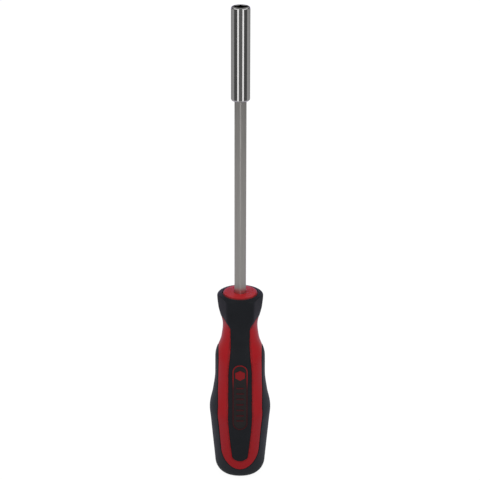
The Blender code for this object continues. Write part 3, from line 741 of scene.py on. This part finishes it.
def addPommel(bm, loop, depth):        # from the edge under the bands down to the middle of the base
    across = 2 * fineness["tip"]
    between = 2 * panelReach
    columns = []
    for middle in (frontMiddle, backMiddle):
        columns += [pick(loop, middle - fineness["tip"] + step) for step in range(across)]
        lowAngle, level = pick(loop, middle + fineness["tip"])
        highAngle = pick(loop, middle + 2 * quarterTurn - fineness["tip"])[0]
        columns += [(mixed(lowAngle, highAngle, step / between), level) for step in range(between)]
    wall = fineness["pommel"]
    base = fineness["lip"]

    def pointAt(column, row):
        angle, edgeLevel = pick(columns, column)
        if row >= base:
            return skinPoint(angle, edgeLevel * (1 - math.cos(quarterCircle * (row - base) / wall)), depth)
        return sectionPoint(angle, 0.0, handleForm["baseWidth"] * row / base, depth)

    shapedGrid(bm, len(columns), base + wall, pointAt)


def addBand(bm, low, high, depth, shade):        # shade: how much painted shade the last rows get, by the tongue's edge
    rows = fineness["band"]

    def pointAt(column, row):
        lowAngle, lowLevel = pick(low, column)
        highAngle, highLevel = pick(high, column)
        share = row / rows
        return skinPoint(mixed(lowAngle, highAngle, share), mixed(lowLevel, highLevel, share), depth)

    def paintedShadeAt(row):
        place = row - rows + len(shade) - 1
        return shade[place] if place >= 0 else 0.0

    shapedGrid(bm, len(low), rows, pointAt, paintedShadeAt)


# Badge outline on the front tongue

badge = {
    "foot": 35.0,
    "length": 40.0,
    "half": 4.45,
    "rim": 0.6,
    "plateTop": 0.04,        # this and the next four are depths under the skin
    "plateBottom": 1.35,
    "floor": 0.8,
    "panelTop": 0.22,
    "panelBottom": 0.72,
    "panelGap": 0.06,        # between the panel and what stands round it
    "pocketGap": 0.08,
    "pocketLip": 0.15,
    "pocketDepth": 1.45,
    "hexAcross": 5.4,
    "hexDrop": 6.6,
    "ribs": 7,
    "ribSize": (4.2, 0.8),
    "ribStart": 8.0,        # first rib below the hexagon's middle
    "ribEnd": 6.2,        # last rib above the badge's foot
    "markReach": 40.0,
}


def badgePlace(half, across, along):        # angle and level of a place that runs from -1 to 1 both ways
    straight = badge["length"] / 2 - badge["half"]
    level = badge["foot"] + badge["length"] / 2 + along * (straight + half * roundDip(across))
    return math.degrees(half * across / skinSize(level, 0.0)[0]), level


def mirroredRing(half):
    return half + [(-angle, level) for angle, level in reversed(half[1:-1])]


def badgeRing(reach):        # once round the badge from the middle of its top
    tall = fineness["side"]
    places = swept(fineness["tip"])
    half = [badgePlace(reach, place, 1.0) for place in places]
    half += [badgePlace(reach, 1.0, 1 - 2 * step / tall) for step in range(tall)]
    half += [badgePlace(reach, place, -1.0) for place in [1.0] + places[::-1]]
    return mirroredRing(half)


def tongueRing(loop):        # once round the front tongue, in step with the badge's ring
    across = fineness["tip"]
    highAngle, level = pick(loop, tongueReach)
    half = [(highAngle * step / across, level) for step in range(across)]
    half += [pick(loop, tongueReach - step) for step in range(tongueReach + 1)]
    return mirroredRing(half)


def addRings(bm, rings):        # joins closed rings of points, each with its own depth
    def pointAt(column, row):
        ring, depth = rings[row]
        return skinPoint(*ring[column % len(ring)], depth)

    shapedGrid(bm, len(rings[0][0]), len(rings) - 1, pointAt)


def addBadgeFace(bm, reach, depth):
    across = fineness["tip"]
    tall = fineness["side"]

    def pointAt(column, row):
        place = math.sin(quarterCircle * (column / across - 1))
        return skinPoint(*badgePlace(reach, place, 2 * row / tall - 1), depth)

    shapedGrid(bm, 2 * across, tall, pointAt)


def addPocket(bm, edge):        # the skin of the front tongue, with a hollow for the badge
    half = badge["half"] + badge["pocketGap"]
    outside = tongueRing(edge)
    inside = badgeRing(half + badge["pocketLip"])
    rings = []
    for step in range(fineness["badge"] + 1):
        share = step / fineness["badge"]
        ring = [(mixed(a, c, share), mixed(b, d, share)) for (a, b), (c, d) in zip(outside, inside)]
        rings.append((ring, 0.0))
    rings += [(badgeRing(half + inset), drop) for inset, drop in rolled(badge["pocketLip"])[1:]]
    rings.append((badgeRing(half), badge["pocketDepth"]))
    addRings(bm, rings)
    addBadgeFace(bm, half, badge["pocketDepth"])


print("edges laid out:", len(upperLoop), "points each")

# Soft grips

gripSize = {
    "thickness": 2.2,
    "gap": 0.08,        # to the line between grip and red body
    "lip": 0.5,
    "mouthLip": 0.15,
}


def makeUpperGrip():
    size = gripSize
    bm = bmesh.new()
    rows = lipRows(upperLoop, 1.0, size["gap"], size["lip"], 0.0, size["thickness"])
    outer = rows[0][0]
    inner = rows[-1][0]
    mouthWidth = handleForm["mouthWidth"]
    mouthLevel = handleForm["mouthLevel"]
    throat = mouthWidth - size["mouthLip"]
    mouthRows = [(throat + inset, mouthLevel - drop) for inset, drop in rolled(size["mouthLip"])[1:]]
    mouthRows.append((mouthWidth, mouthLevel - size["thickness"]))
    addCollar(bm, outer, 0.0, mouthRows)
    addTongues(bm, outer, [backMiddle], 0.0)
    addPocket(bm, outer)
    addLip(bm, rows)
    addCollar(bm, inner, size["thickness"], [])
    addTongues(bm, inner, [frontMiddle, backMiddle], size["thickness"])
    finishPiece("upperGrip", bm, "grip", "upper_grip")


def makeLowerGrip():
    size = gripSize
    bm = bmesh.new()
    rows = lipRows(lowerLoop, -1.0, size["gap"], size["lip"], 0.0, size["thickness"])
    for loop, depth in (rows[0], rows[-1]):
        addPommel(bm, loop, depth)
        addPanels(bm, loop, depth)
    addLip(bm, rows)
    finishPiece("lowerGrip", bm, "pommel", "lower_grip")


makeUpperGrip()
makeLowerGrip()

# Red body

coreSize = {
    "gap": 0.04,
    "lip": 0.3,
    "recess": 0.18,
    "bandShade": (0.2, 0.8, 1.8),        # painted shade: the bands darken towards the tongue
    "underGrip": 2.32,
    "discWidth": 9.6,
    "discLip": 0.75,
    "discDome": 0.25,        # the disc's edge lies this far under its middle
    "discRings": 6,
    "discShade": 2.0,        # how dark the disc's lip is, as painted shade
    "holeGap": 0.05,
    "holeChamfer": 0.12,
    "cavityGap": 0.3,
    "cavityNeck": 5.7,
    "cavityNeckFoot": 87.0,
    "cavityBellyTop": 53.0,
    "cavityBevel": 4.0,
}


def cavityRows():        # the disc, the hole round the shaft and the room for the first shot
    size = coreSize
    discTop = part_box("handle_core")[1].z / mm
    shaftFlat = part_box("shaft")[1].y / mm * flatToCorner
    coreLow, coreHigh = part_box("inner_core")
    neck = size["cavityNeck"] + size["cavityGap"]
    belly = coreHigh.x / mm + size["cavityGap"]
    top = coreHigh.z / mm + size["cavityGap"]
    floor = coreLow.z / mm - size["cavityGap"]
    rows = [(size["discWidth"], handleForm["mouthLevel"] - size["underGrip"])]
    for down, inward in rolled(size["discLip"]):
        rows.append((size["discWidth"] - inward, discTop - size["discDome"] - down))
    hole = shaftFlat + size["holeGap"]
    edge = rows[-1][0]
    for step in range(1, size["discRings"]):
        width = mixed(edge, hole, step / size["discRings"])
        rows.append((width, discTop - size["discDome"] * (width / edge) ** 2))
    rows += [
        (hole + size["holeChamfer"], discTop, "hex"),
        (hole, discTop - size["holeChamfer"], "hex"),
        (hole, top, "hex"),
        (neck, top),
        (neck, size["cavityNeckFoot"]),
        (belly, size["cavityBellyTop"]),
        (belly, floor + size["cavityBevel"]),
        (belly - size["cavityBevel"], floor),
        (0.0, floor),
    ]
    return rows


def makeRedCore():
    size = coreSize
    depth = size["underGrip"]
    bm = bmesh.new()
    upRows = lipRows(upperLoop, -1.0, size["gap"], size["lip"], size["recess"], depth)
    lowRows = lipRows(lowerLoop, 1.0, size["gap"], size["lip"], size["recess"], depth)
    addBand(bm, lowRows[0][0], upRows[0][0], size["recess"], size["bandShade"])
    addLip(bm, upRows)
    addLip(bm, lowRows)
    under = upRows[-1][0]
    addCollar(bm, under, depth, cavityRows(), [size["discShade"]] * (fineness["lip"] + 1))
    addTongues(bm, under, [frontMiddle, backMiddle], depth)
    under = lowRows[-1][0]
    addPommel(bm, under, depth)
    addPanels(bm, under, depth)
    finishPiece("redCore", bm, "core", "handle_core")


makeRedCore()
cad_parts["inner_core"].material_slots[0].material = finishes["innerCore"]
print("inner core keeps its solid")

# Badge: a red plate whose rim, hexagon and ribs stand round a dark panel


def badgeSlab(name, reach, top, bottom):
    bm = bmesh.new()
    addBadgeFace(bm, reach, top)
    addRings(bm, [(badgeRing(reach), top), (badgeRing(reach), bottom)])
    addBadgeFace(bm, reach, bottom)
    return closedMesh(name, bm)


def badgeMarks(grow):        # the hexagon and the ribs as prisms that run out to the front
    reach = badge["markReach"]
    hexLevel = badge["foot"] + badge["length"] - badge["hexDrop"]
    corner = badge["hexAcross"] / 2 / flatToCorner + grow
    bm = bmesh.new()
    bmesh.ops.create_cone(bm, cap_ends=True, segments=6, radius1=corner, radius2=corner, depth=reach)
    bmesh.ops.rotate(bm, verts=bm.verts, matrix=Matrix.Rotation(math.radians(90.0), 3, "X"))
    bmesh.ops.translate(bm, verts=bm.verts, vec=(0.0, -reach / 2, hexLevel))
    long, wide = badge["ribSize"]
    first = hexLevel - badge["ribStart"]
    last = badge["foot"] + badge["ribEnd"]
    for index in range(badge["ribs"]):
        level = mixed(first, last, index / (badge["ribs"] - 1))
        made = bmesh.ops.create_cube(bm, size=1.0)["verts"]
        bmesh.ops.scale(bm, verts=made, vec=(long + 2 * grow, reach, wide + 2 * grow))
        bmesh.ops.translate(bm, verts=made, vec=(0.0, -reach / 2, level))
    bmesh.ops.scale(bm, verts=bm.verts, vec=(mm, mm, mm))
    return closedMesh("badgeMarks", bm)


def carved(body, tool):        # the body with the tool cut out, as a new bmesh; both objects go
    cut = body.modifiers.new("cut", "BOOLEAN")
    cut.operation = "DIFFERENCE"
    cut.solver = "EXACT"
    cut.object = tool
    bm = bmesh.new()
    bm.from_object(body, bpy.context.evaluated_depsgraph_get())
    for used in (body, tool):
        bpy.data.objects.remove(used)
    return bm


def makeBadge():
    inside = badge["half"] - badge["rim"]
    overrun = -1.0        # the recess starts this far outside the skin
    recess = carved(badgeSlab("recess", inside, overrun, badge["floor"]), badgeMarks(0.0))
    plate = badgeSlab("plateBlank", badge["half"], badge["plateTop"], badge["plateBottom"])
    bm = carved(plate, closedMesh("recessTool", recess))
    finishPiece("badgePlate", bm, "badgePlate", "badge_plate", sharpAngle=30.0)
    panel = badgeSlab("panelBlank", inside - badge["panelGap"], badge["panelTop"], badge["panelBottom"])
    bm = carved(panel, badgeMarks(badge["panelGap"]))
    finishPiece("badgePanel", bm, "badgePanel", "badge_panel", sharpAngle=30.0)


makeBadge()

# Shaft: a hexagonal bar with a corner to the front

shaftSize = {
    "edgeRound": 0.38,
    "edgeSteps": 4,
    "endChamfer": 0.4,
    "wingDepths": (38.0, 58.0),        # middle of each pair of wings under the disc
    "wingHalf": 6.0,
    "wingRamp": 1.5,
    "wingSpread": 1.42,
    "wingPinch": 0.64,
}


def extruded(bm, face, rise):        # the new verts, moved up, and the new face
    made = bmesh.ops.extrude_face_region(bm, geom=[face])["geom"]
    verts = [item for item in made if isinstance(item, bmesh.types.BMVert)]
    bmesh.ops.translate(bm, verts=verts, vec=(0.0, 0.0, rise))
    return verts, next(item for item in made if isinstance(item, bmesh.types.BMFace))


def makeShaft():
    size = shaftSize
    low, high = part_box("shaft")
    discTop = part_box("handle_core")[1].z
    corner = high.y
    bm = bmesh.new()
    bmesh.ops.create_circle(bm, cap_ends=True, segments=6, radius=corner)
    bmesh.ops.bevel(
        bm, geom=bm.verts[:], offset=size["edgeRound"] * mm, offset_type="OFFSET", affect="VERTICES",
        segments=size["edgeSteps"], profile=0.5, material=-1)
    chamfer = size["endChamfer"] * mm
    shrink = 1 - chamfer / corner
    levels = [(low.z, shrink, shrink), (low.z + chamfer, 1.0, 1.0)]
    for depth in reversed(size["wingDepths"]):
        middle = discTop - depth * mm
        half = size["wingHalf"] * mm
        inner = half - size["wingRamp"] * mm
        levels.append((middle - half, 1.0, 1.0))
        levels.append((middle - inner, size["wingSpread"], size["wingPinch"]))
        levels.append((middle + inner, size["wingSpread"], size["wingPinch"]))
        levels.append((middle + half, 1.0, 1.0))
    levels += [(high.z - chamfer, 1.0, 1.0), (high.z, shrink, shrink)]
    bmesh.ops.scale(bm, verts=bm.verts, vec=(shrink, shrink, 1.0))
    bmesh.ops.translate(bm, verts=bm.verts, vec=(0.0, 0.0, low.z))
    cap = bm.faces[:][0]
    for before, after in zip(levels, levels[1:]):
        verts, top = extruded(bm, cap, after[0] - before[0])
        bmesh.ops.scale(bm, verts=verts, vec=(after[1] / before[1], after[2] / before[2], 1.0))
        if before != levels[0]:        # only the first cap stays, as the shaft's lower end
            bmesh.ops.delete(bm, geom=[cap], context="FACES_ONLY")
        cap = top
    finishPiece("toolShaft", bm, "shaft", "shaft", sharpAngle=25.0, flatFaces=True)


makeShaft()

# Socket: polished sleeve, magnet and sprung ring

sleeveSize = {
    "steps": 120,        # a multiple of 12 puts a vertex on every corner of the hexagon
    "topRound": 1.0,
    "footRound": 1.1,
    "roundSteps": 6,
    "hexAcross": 6.4,
    "boreAcross": 6.46,
    "mouthMark": 0.2,        # a ring of vertices under the tip that becomes the mouth's chamfer
    "grooveWidth": 4.1,
    "grooveHalf": 0.62,
    "ringDrop": 5.0,
    "runout": 17.0,
    "boreStep": 0.3,
}


def outerRound(width, level, radius, start, end):        # a quarter circle of the sleeve's outline
    points = []
    for step in range(sleeveSize["roundSteps"] + 1):
        turn = math.radians(mixed(start, end, step / sleeveSize["roundSteps"]))
        points.append((width - radius + radius * math.cos(turn), level + radius * math.sin(turn)))
    return points


def spunPiece(profile, steps):
    bm = bmesh.new()
    verts = [bm.verts.new((width * mm, 0.0, level * mm)) for width, level in profile]
    edges = [bm.edges.new((a, b)) for a, b in zip(verts, verts[1:] + verts[:1])]
    bmesh.ops.spin(
        bm, geom=verts + edges, cent=(0.0, 0.0, 0.0), axis=(0.0, 0.0, 1.0), angle=2 * math.pi,
        steps=steps, use_merge=True)
    return bm


def makeSleeve():
    size = sleeveSize
    low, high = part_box("bit_sleeve")
    foot = low.z / mm
    tip = high.z / mm
    width = high.x / mm
    corner = size["hexAcross"] / 2 / flatToCorner
    boreCorner = size["boreAcross"] / 2 / flatToCorner
    mark = tip - size["mouthMark"]
    grooveTop = tip - size["ringDrop"] + size["grooveHalf"]
    grooveFoot = tip - size["ringDrop"] - size["grooveHalf"]
    step = tip - size["runout"]
    profile = outerRound(width, foot + size["footRound"], size["footRound"], -90.0, 0.0)
    profile += outerRound(width, tip - size["topRound"], size["topRound"], 0.0, 90.0)
    profile += [(corner, tip), (corner, mark)]
    profile += [(corner, grooveTop), (size["grooveWidth"], grooveTop)]
    profile += [(size["grooveWidth"], grooveFoot), (corner, grooveFoot)]
    profile += [(corner, step), (boreCorner, step - size["boreStep"]), (boreCorner, foot)]
    bm = spunPiece(profile, size["steps"])
    near = mergeGap / mm
    for vert in bm.verts:        # the bore's rings become hexagons, and the mouth's chamfer follows them
        reach = vert.co.xy.length / mm
        level = vert.co.z / mm
        angle = math.degrees(math.atan2(vert.co.x, -vert.co.y))
        if level > tip - near:
            continue
        for cornerReach in (corner, boreCorner):
            if abs(reach - cornerReach) < near:
                flat = hexReach(angle, cornerReach * flatToCorner)
                vert.co.xy *= flat / reach
                if abs(level - mark) < near:
                    vert.co.z = (tip - (corner - flat)) * mm
                break
    finishPiece(
        "bitSleeve", bm, "sleeve", "bit_sleeve", sharpAngle=30.0, flatFaces=True)


magnetSize = {"segments": 64, "bevel": 0.3, "bevelSteps": 3}


def makeMagnet():
    size = magnetSize
    low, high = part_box("magnet")
    bm = bmesh.new()
    bmesh.ops.create_circle(bm, cap_ends=True, segments=size["segments"], radius=high.x)
    extruded(bm, bm.faces[:][0], high.z - low.z)
    bmesh.ops.translate(bm, verts=bm.verts, vec=(0.0, 0.0, low.z))
    rims = [edge for edge in bm.edges if abs(edge.verts[0].co.z - edge.verts[1].co.z) < mergeGap]
    bmesh.ops.bevel(
        bm, geom=rims, offset=size["bevel"] * mm, offset_type="OFFSET", affect="EDGES",
        segments=size["bevelSteps"], profile=0.5, material=-1)
    finishPiece("socketMagnet", bm, "magnet", "magnet", sharpAngle=30.0, flatFaces=True)


ringSize = {"wire": 0.4, "reach": 3.45, "sides": 14, "opening": 46.0, "steps": 72}


def makeRing():
    size = ringSize
    low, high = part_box("retaining_ring")
    level = (low.z + high.z) / 2
    start = math.radians(90.0 + size["opening"] / 2)        # the opening is at the back
    swing = math.radians(fullTurn - size["opening"])
    wire = size["wire"] * mm
    bm = bmesh.new()
    circle = bmesh.ops.create_circle(bm, cap_ends=True, segments=size["sides"], radius=wire)["verts"]
    bmesh.ops.rotate(bm, verts=circle, matrix=Matrix.Rotation(math.radians(90.0), 3, "X"))
    bmesh.ops.translate(bm, verts=circle, vec=(size["reach"] * mm, 0.0, level))
    bmesh.ops.rotate(bm, verts=circle, matrix=Matrix.Rotation(start, 3, "Z"))
    made = bmesh.ops.spin(
        bm, geom=circle + bm.edges[:], cent=(0.0, 0.0, 0.0), axis=(0.0, 0.0, 1.0), angle=swing,
        steps=size["steps"])
    endEdges = [item for item in made["geom_last"] if isinstance(item, bmesh.types.BMEdge)]
    bmesh.ops.contextual_create(bm, geom=endEdges)
    finishPiece("retainingRing", bm, "ring", "retaining_ring", sharpAngle=40.0)


makeSleeve()
makeMagnet()
makeRing()

# Studio

studio = {        # in metres and degrees
    "floorSize": 8.0,
    "floorAlbedo": 0.45,
    "floorWhite": 0.94,
    "floorShadowAlbedo": 0.10,
    "floorGloss": 0.28,
    "ambient": 0.80,
    "worldGloss": 0.21,
    "stripAzimuth": 30.5,
    "stripDistance": 0.45,
    "stripWidth": 0.14,
    "stripHeight": 0.9,
    "stripRadiance": 1.12,
    "boxAzimuth": 72.0,
    "boxDistance": 0.85,
    "boxLevel": 0.9,
    "boxSize": (1.0, 0.5),
    "boxRadiance": 1.2,
    "cards": [        # azimuth, angular width, radiance, foot and top
        (0.0, 60.0, (0.137, 0.137, 0.137), 0.0, 1.6),
        (-57.0, 54.0, (0.085, 0.085, 0.085), 0.0, 0.62),
        (57.0, 54.0, (0.085, 0.085, 0.085), 0.0, 0.62),
        (180.0, 80.0, (1.3, 1.12, 1.8), 0.16, 0.33),
        (180.0, 150.0, (0.02, 0.02, 0.02), 0.34, 0.47),
        (180.0, 40.0, (0.7, 0.7, 0.7), 0.47, 0.62),
    ],
    "cardDistance": 0.66,
    "cardSteps": 12,
    "sheetReach": (0.03, 0.33),        # white sheets that lie left and right of the tool
    "sheetDepth": (-0.05, 0.28),
    "sheetLift": 0.001,
    "sheetRadiance": (0.52, 0.48, 0.58),
}


def aroundTool(azimuth, distance, height):        # azimuth from the camera's side towards +X
    turn = math.radians(azimuth)
    return Vector((distance * math.sin(turn), -distance * math.cos(turn), height))


def addAreaLight(name, place, aimLevel, width, height, radiance):
    data = bpy.data.lights.new(name, "AREA")
    data.shape = "RECTANGLE"
    data.size = width
    data.size_y = height
    data.energy = radiance * math.pi * width * height
    light = bpy.data.objects.new(name, data)
    scene.collection.objects.link(light)
    light.location = place
    light.rotation_euler = (Vector((0.0, 0.0, aimLevel)) - place).to_track_quat("-Z", "Y").to_euler()
    light.visible_camera = False


def lightStrength(tree, ambient, camera, gloss):        # a strength for each kind of ray that asks
    path = tree.nodes.new("ShaderNodeLightPath").outputs
    seen = addMath(tree, "MAXIMUM", path["Is Camera Ray"], path["Is Transmission Ray"])
    lit = addMath(tree, "MULTIPLY_ADD", seen, camera - ambient, ambient)
    return addMath(tree, "MULTIPLY_ADD", path["Is Glossy Ray"], gloss - ambient, lit)


def studioThing(name, bm):        # an object and the empty node tree of its material
    thing = linkMesh(name, bm)
    material = bpy.data.materials.new(name)
    material.use_nodes = True
    material.node_tree.nodes.clear()
    material.cycles.emission_sampling = "NONE"
    thing.data.materials.append(material)
    return thing, material.node_tree


def makeFloor():
    bm = bmesh.new()
    bmesh.ops.create_grid(bm, x_segments=1, y_segments=1, size=studio["floorSize"] / 2)
    floor, tree = studioThing("floor", bm)
    path = tree.nodes.new("ShaderNodeLightPath").outputs
    shown = addMath(tree, "MAXIMUM", path["Is Camera Ray"], path["Is Glossy Ray"])
    shown = addMath(tree, "MAXIMUM", shown, path["Is Transmission Ray"])
    strength = lightStrength(tree, 0.0, studio["floorWhite"], studio["floorGloss"])
    glow = addNode(tree, "ShaderNodeEmission", {"Strength": strength}).outputs[0]
    shades = []
    for albedo in (studio["floorAlbedo"], studio["floorShadowAlbedo"]):
        grey = (albedo, albedo, albedo, 1.0)
        shades.append(addNode(tree, "ShaderNodeBsdfDiffuse", {"Color": grey}).outputs[0])
    plain, faint = shades
    both = addNode(tree, "ShaderNodeAddShader", {0: glow, 1: faint}).outputs[0]
    choice = addNode(tree, "ShaderNodeMixShader", {0: shown, 1: plain, 2: both}).outputs[0]
    addNode(tree, "ShaderNodeOutputMaterial", {"Surface": choice})


def makeCard(name, radiance, placeAt):        # only shows in reflections, and runs from -1 to 1 both ways
    bm = bmesh.new()
    bmesh.ops.create_grid(bm, x_segments=studio["cardSteps"], y_segments=1, size=1.0)
    for vert in bm.verts:
        vert.co = placeAt(vert.co.x, vert.co.y)
    card, tree = studioThing(name, bm)
    glow = addNode(tree, "ShaderNodeEmission", {"Color": (*radiance, 1.0)}).outputs[0]
    addNode(tree, "ShaderNodeOutputMaterial", {"Surface": glow})
    for kind in ("camera", "diffuse", "shadow", "transmission"):
        setattr(card, f"visible_{kind}", False)


def standCard(index, azimuth, spread, radiance, foot, top):        # a curved card upright round the tool
    def placeAt(across, along):
        height = mixed(foot, top, (along + 1) / 2)
        return aroundTool(azimuth + spread / 2 * across, studio["cardDistance"], height)

    makeCard(f"card{index}", radiance, placeAt)


def laySheet(side):
    def placeAt(across, along):
        reach = side * mixed(*studio["sheetReach"], (across + 1) / 2)
        return Vector((reach, mixed(*studio["sheetDepth"], (along + 1) / 2), studio["sheetLift"]))

    makeCard(f"sheet{side}", studio["sheetRadiance"], placeAt)


def makeWorld():
    world = bpy.data.worlds.new("studio")
    scene.world = world
    world.use_nodes = True
    tree = world.node_tree
    background = tree.nodes["Background"]
    background.inputs["Color"].default_value = (1.0, 1.0, 1.0, 1.0)
    strength = lightStrength(tree, studio["ambient"], 1.0, studio["worldGloss"])
    tree.links.new(strength, background.inputs["Strength"])


makeFloor()
makeWorld()
for side in (-1, 1):
    aimLevel = studio["stripHeight"] / 2
    place = aroundTool(side * studio["stripAzimuth"], studio["stripDistance"], aimLevel)
    stripSize = (studio["stripWidth"], studio["stripHeight"])
    addAreaLight(f"strip{side}", place, aimLevel, *stripSize, studio["stripRadiance"])
    aimLevel = cadBox[1].z / 2
    place = aroundTool(side * studio["boxAzimuth"], studio["boxDistance"], studio["boxLevel"])
    addAreaLight(f"softbox{side}", place, aimLevel, *studio["boxSize"], studio["boxRadiance"])
    laySheet(side)
for index, card in enumerate(studio["cards"]):
    standCard(index, *card)
scene.view_settings.view_transform = "Standard"
print("studio lit")
